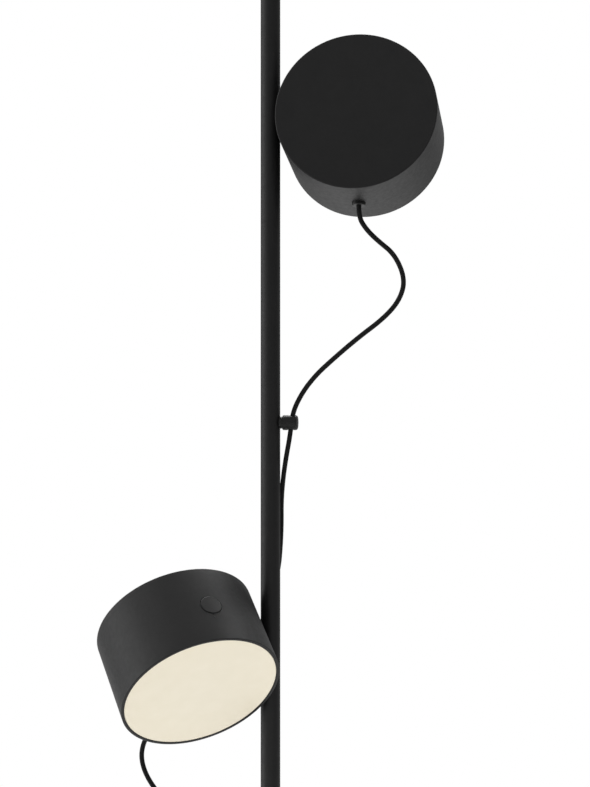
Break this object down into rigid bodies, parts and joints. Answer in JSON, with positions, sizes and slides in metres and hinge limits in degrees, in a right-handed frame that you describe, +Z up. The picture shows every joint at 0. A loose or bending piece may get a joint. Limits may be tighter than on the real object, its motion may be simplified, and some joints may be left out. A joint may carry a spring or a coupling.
{
  "type": "tension pole lamp",
  "caption": "Slim black pole wedged between floor and ceiling, with can-shaped spot heads held on it by magnets and fed by braided cords through cord clips.",
  "frame": {"origin": "centre of the foot pad's underside, on the floor", "axes": "+Z up along the pole, -Y towards the viewer of the picture, +X to the viewer's right"},
  "size_m": [0.2817, 0.152, 2.4],
  "materials": {
    "black_powder_coat": "satin black powder coat",
    "plain_steel": "bright zinc plated",
    "bare_aluminium": "plain mill finish",
    "black_rubber": "matt rubber",
    "black_plastic": "fine-grained black plastic",
    "opal_diffuser": "warm opal acrylic, satin",
    "black_braid": "fine braided textile sleeve",
    "pale_insulation": "smooth insulation",
    "led_yellow": "phosphor under clear resin",
    "circuit_board": "lacquered board",
    "clear_silicone": "translucent silicone",
    "nickel_magnet": "nickel plated"
  },
  "bodies": {
    "root": {"floor_pad": "black_rubber", "floor_cup": "black_powder_coat", "lower_tube": "black_powder_coat", "main_tube": "black_powder_coat", "upper_tube": "black_powder_coat", "lower_joiner": "bare_aluminium", "upper_joiner": "bare_aluminium", "mains_outlet_bush": "black_rubber", "splice_block": "pale_insulation", "upper_cord_boot": "black_plastic", "lower_cord_boot": "black_plastic", "upper_inner_cable": "pale_insulation", "lower_inner_cable": "pale_insulation", "reach_collar": "black_powder_coat"},
    "extension": {"extension_tube": "black_powder_coat", "plunger_bush": "black_plastic", "spring_stop": "plain_steel", "plunger_spring": "plain_steel"},
    "plunger": {"plunger_rod": "plain_steel", "ceiling_cup": "black_powder_coat", "ceiling_pad": "black_rubber"},
    "lock_screw": {"lock_screw": "black_powder_coat"},
    "upper_clip": {"upper_clip_body": "black_powder_coat", "upper_clip_magnet": "black_plastic", "upper_cord": "black_braid"},
    "upper_shoe": {"upper_shoe": "black_powder_coat", "upper_shoe_magnet": "nickel_magnet", "upper_swivel_nut": "plain_steel"},
    "upper_head": {"upper_shell": "black_powder_coat", "upper_led_plate": "bare_aluminium", "upper_led_chips": "led_yellow", "upper_plate_screws": "plain_steel", "upper_diffuser": "opal_diffuser", "upper_driver_board": "circuit_board", "upper_switch_board": "circuit_board", "upper_button_return_pad": "clear_silicone", "upper_cord_bush": "black_plastic"},
    "upper_button": {"upper_button": "black_plastic"},
    "lower_clip": {"lower_clip_body": "black_powder_coat", "lower_clip_magnet": "black_plastic", "lower_cord": "black_braid"},
    "lower_shoe": {"lower_shoe": "black_powder_coat", "lower_shoe_magnet": "nickel_magnet", "lower_swivel_nut": "plain_steel"},
    "lower_head": {"lower_shell": "black_powder_coat", "lower_led_plate": "bare_aluminium", "lower_led_chips": "led_yellow", "lower_plate_screws": "plain_steel", "lower_diffuser": "opal_diffuser", "lower_driver_board": "circuit_board", "lower_switch_board": "circuit_board", "lower_button_return_pad": "clear_silicone", "lower_cord_bush": "black_plastic"},
    "lower_button": {"lower_button": "black_plastic"}
  },
  "joints": [
    {"name": "reach_slide", "type": "slide", "parent": "root", "child": "extension", "axis": [0, 0, 1], "range_m": [-0.1, 0.12]},
    {"name": "plunger_slide", "type": "slide", "parent": "extension", "child": "plunger", "axis": [0, 0, 1], "range_m": [-0.03, 0], "stiffness_N_per_m": 4000, "springref_m": 0.01, "deforming": ["plunger_spring"]},
    {"name": "lock_screw_turn", "type": "hinge", "parent": "root", "child": "lock_screw", "pos_m": [0, 0.015, 2.236], "axis": [0, 1, 0], "range_deg": [0, 270]},
    {"name": "upper_orbit", "type": "hinge", "parent": "root", "child": "upper_clip", "pos_m": [0, 0, 1.517], "axis": [0, 0, 1], "range_deg": [-60, 60], "deforming": ["upper_cord"]},
    {"name": "upper_height", "type": "slide", "parent": "upper_clip", "child": "upper_shoe", "axis": [0, 0, 1], "range_m": [-0.1, 0.05], "deforming": ["upper_cord"]},
    {"name": "upper_swivel", "type": "hinge", "parent": "upper_shoe", "child": "upper_head", "pos_m": [0, 0, 1.517], "axis": [0.9896, -0.1438, 0], "range_deg": [-60, 60], "deforming": ["upper_cord"]},
    {"name": "upper_button_press", "type": "slide", "parent": "upper_head", "child": "upper_button", "axis": [-0.0322, -0.2216, -0.9746], "range_m": [0, 0.001], "stiffness_N_per_m": 1500, "springref_m": -0.0005, "deforming": ["upper_button_return_pad"]},
    {"name": "lower_orbit", "type": "hinge", "parent": "root", "child": "lower_clip", "pos_m": [0, 0, 1.091], "axis": [0, 0, 1], "range_deg": [-50, 60], "deforming": ["lower_cord"]},
    {"name": "lower_height", "type": "slide", "parent": "lower_clip", "child": "lower_shoe", "axis": [0, 0, 1], "range_m": [-0.1, 0.05], "deforming": ["lower_cord"]},
    {"name": "lower_swivel", "type": "hinge", "parent": "lower_shoe", "child": "lower_head", "pos_m": [0, 0, 1.091], "axis": [-0.887, -0.4617, 0], "range_deg": [-60, 60], "deforming": ["lower_cord"]},
    {"name": "lower_button_press", "type": "slide", "parent": "lower_head", "child": "lower_button", "axis": [-0.3149, 0.6048, -0.7315], "range_m": [0, 0.001], "stiffness_N_per_m": 1500, "springref_m": -0.0005, "deforming": ["lower_button_return_pad"]}
  ]
}
